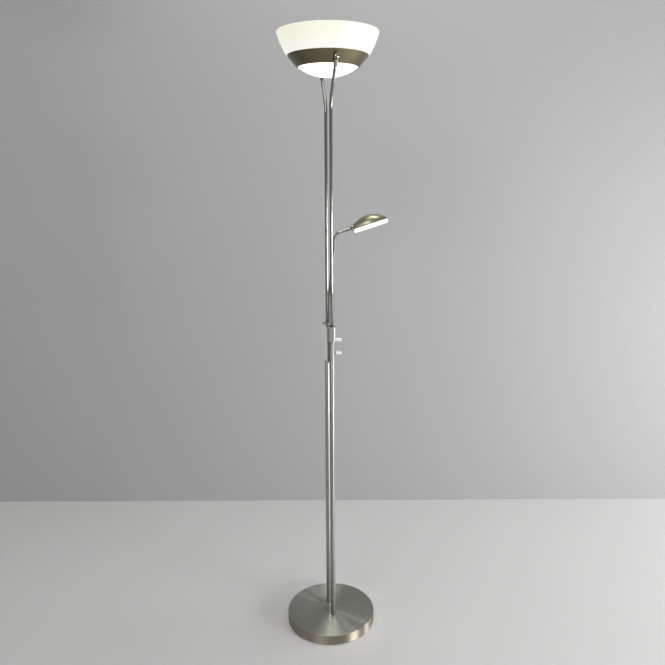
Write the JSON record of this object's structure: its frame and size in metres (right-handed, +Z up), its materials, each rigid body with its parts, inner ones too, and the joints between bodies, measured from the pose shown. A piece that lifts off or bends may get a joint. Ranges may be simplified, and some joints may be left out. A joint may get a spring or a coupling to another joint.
{
  "type": "torchiere_floor_lamp_with_reading_light",
  "caption": "Torchiere floor lamp in satin nickel: round weighted base, double column, tilting opal glass bowl, reading light on a flexible arm, two dimmer knobs",
  "frame": {"origin": "centre of the base's underside, on the floor", "axes": "+Z up; the two columns stand in the Y-Z plane; +X is the side of the dimmer knobs and the reading light"},
  "size_m": [0.3158, 0.2818, 1.8],
  "materials": {
    "satin_nickel": "satin",
    "bright_chrome": "polished",
    "zinc_steel": "zinc plated",
    "cast_iron": "as cast",
    "grey_felt": "felt",
    "black_plastic": "matt",
    "green_board": "solder mask",
    "white_board": "white solder mask",
    "led_phosphor": "cast silicone",
    "opal_glass": "satin opal",
    "opal_plastic": "opal",
    "silicone": "moulded",
    "white_nylon": "moulded",
    "plain_aluminium": "plain"
  },
  "bodies": {
    "stand": {"base_cover": "satin_nickel", "base_weight": "cast_iron", "base_plate": "zinc_steel", "base_felt": "grey_felt", "plate_screws": "zinc_steel", "tube_studs": "zinc_steel", "spacer_sleeves": "zinc_steel", "stud_washers": "zinc_steel", "stud_nuts": "zinc_steel", "led_driver": "black_plastic", "terminal_block": "black_plastic", "cable_gland": "black_plastic", "lower_tube_front": "satin_nickel", "lower_tube_back": "satin_nickel", "housing_knob_side": "satin_nickel", "housing_plain_side": "satin_nickel", "housing_screws": "zinc_steel", "control_board": "green_board", "dimmer_main": "black_plastic", "dimmer_reading": "black_plastic", "dimmer_nut_main": "zinc_steel", "dimmer_nut_reading": "zinc_steel", "upper_rod_front": "satin_nickel", "upper_rod_back": "satin_nickel", "pivot_eye_front": "satin_nickel", "pivot_eye_back": "satin_nickel", "arm_socket": "satin_nickel"},
    "shade": {"pivot_washers": "white_nylon", "pivot_screws": "satin_nickel", "cross_bar": "zinc_steel", "shade_ring": "satin_nickel", "glass_shade": "opal_glass", "glass_gasket": "silicone", "glass_dish": "opal_glass", "dish_retainer": "zinc_steel", "led_carrier": "plain_aluminium", "carrier_screws": "zinc_steel", "led_board_up": "white_board", "leds_up": "led_phosphor", "led_board_down": "white_board", "leds_down": "led_phosphor", "upper_diffuser": "opal_plastic"},
    "main_knob": {"dimmer_shaft_main": "zinc_steel", "knob_main": "bright_chrome"},
    "reading_knob": {"dimmer_shaft_reading": "zinc_steel", "knob_reading": "bright_chrome"},
    "arm_base": {"arm_stem": "satin_nickel"},
    "arm_lean_1": {"arm_link_1": "satin_nickel"},
    "arm_lean_2": {"arm_link_2": "satin_nickel"},
    "arm_curl_1": {"arm_link_3": "satin_nickel"},
    "arm_curl_2": {"arm_link_4": "satin_nickel"},
    "head": {"head_collar": "satin_nickel", "head_shell": "satin_nickel", "head_tray": "plain_aluminium", "head_led_board": "white_board", "head_leds": "led_phosphor", "head_lens": "opal_plastic"}
  },
  "joints": [
    {"name": "bowl_tilt", "type": "hinge", "parent": "stand", "child": "shade", "pos_m": [0, 0, 1.721], "axis": [0, 1, 0], "range_deg": [-30, 30]},
    {"name": "main_dimmer", "type": "hinge", "parent": "stand", "child": "main_knob", "pos_m": [0, 0, 0.941], "axis": [1, 0, 0], "range_deg": [0, 280]},
    {"name": "reading_dimmer", "type": "hinge", "parent": "stand", "child": "reading_knob", "pos_m": [0, 0, 0.901], "axis": [1, 0, 0], "range_deg": [0, 280]},
    {"name": "arm_swivel", "type": "hinge", "parent": "stand", "child": "arm_base", "pos_m": [0, 0, 0.99], "axis": [0, 0, 1], "range_deg": [-70, 70]},
    {"name": "arm_lean", "type": "hinge", "parent": "arm_base", "child": "arm_lean_1", "pos_m": [0, 0, 1.095], "axis": [0, 1, 0], "range_deg": [-2, 10]},
    {"name": "arm_lean_upper", "type": "hinge", "parent": "arm_lean_1", "child": "arm_lean_2", "pos_m": [0.01546, 0, 1.205], "axis": [0, 1, 0], "range_deg": [-2, 10]},
    {"name": "arm_curl", "type": "hinge", "parent": "arm_lean_2", "child": "arm_curl_1", "pos_m": [0.01546, 0, 1.2387], "axis": [0, 1, 0], "range_deg": [-7, 25]},
    {"name": "arm_curl_upper", "type": "hinge", "parent": "arm_curl_1", "child": "arm_curl_2", "pos_m": [0.03224, 0, 1.26159], "axis": [0, 1, 0], "range_deg": [-7, 25]},
    {"name": "head_tilt", "type": "hinge", "parent": "arm_curl_2", "child": "head", "pos_m": [0.07058, 0, 1.27368], "axis": [0, 1, 0], "range_deg": [-20, 20]}
  ],
  "couplings": [
    {"joint": "arm_lean_upper", "follows": "arm_lean", "ratio": 1},
    {"joint": "arm_curl_upper", "follows": "arm_curl", "ratio": 1}
  ]
}
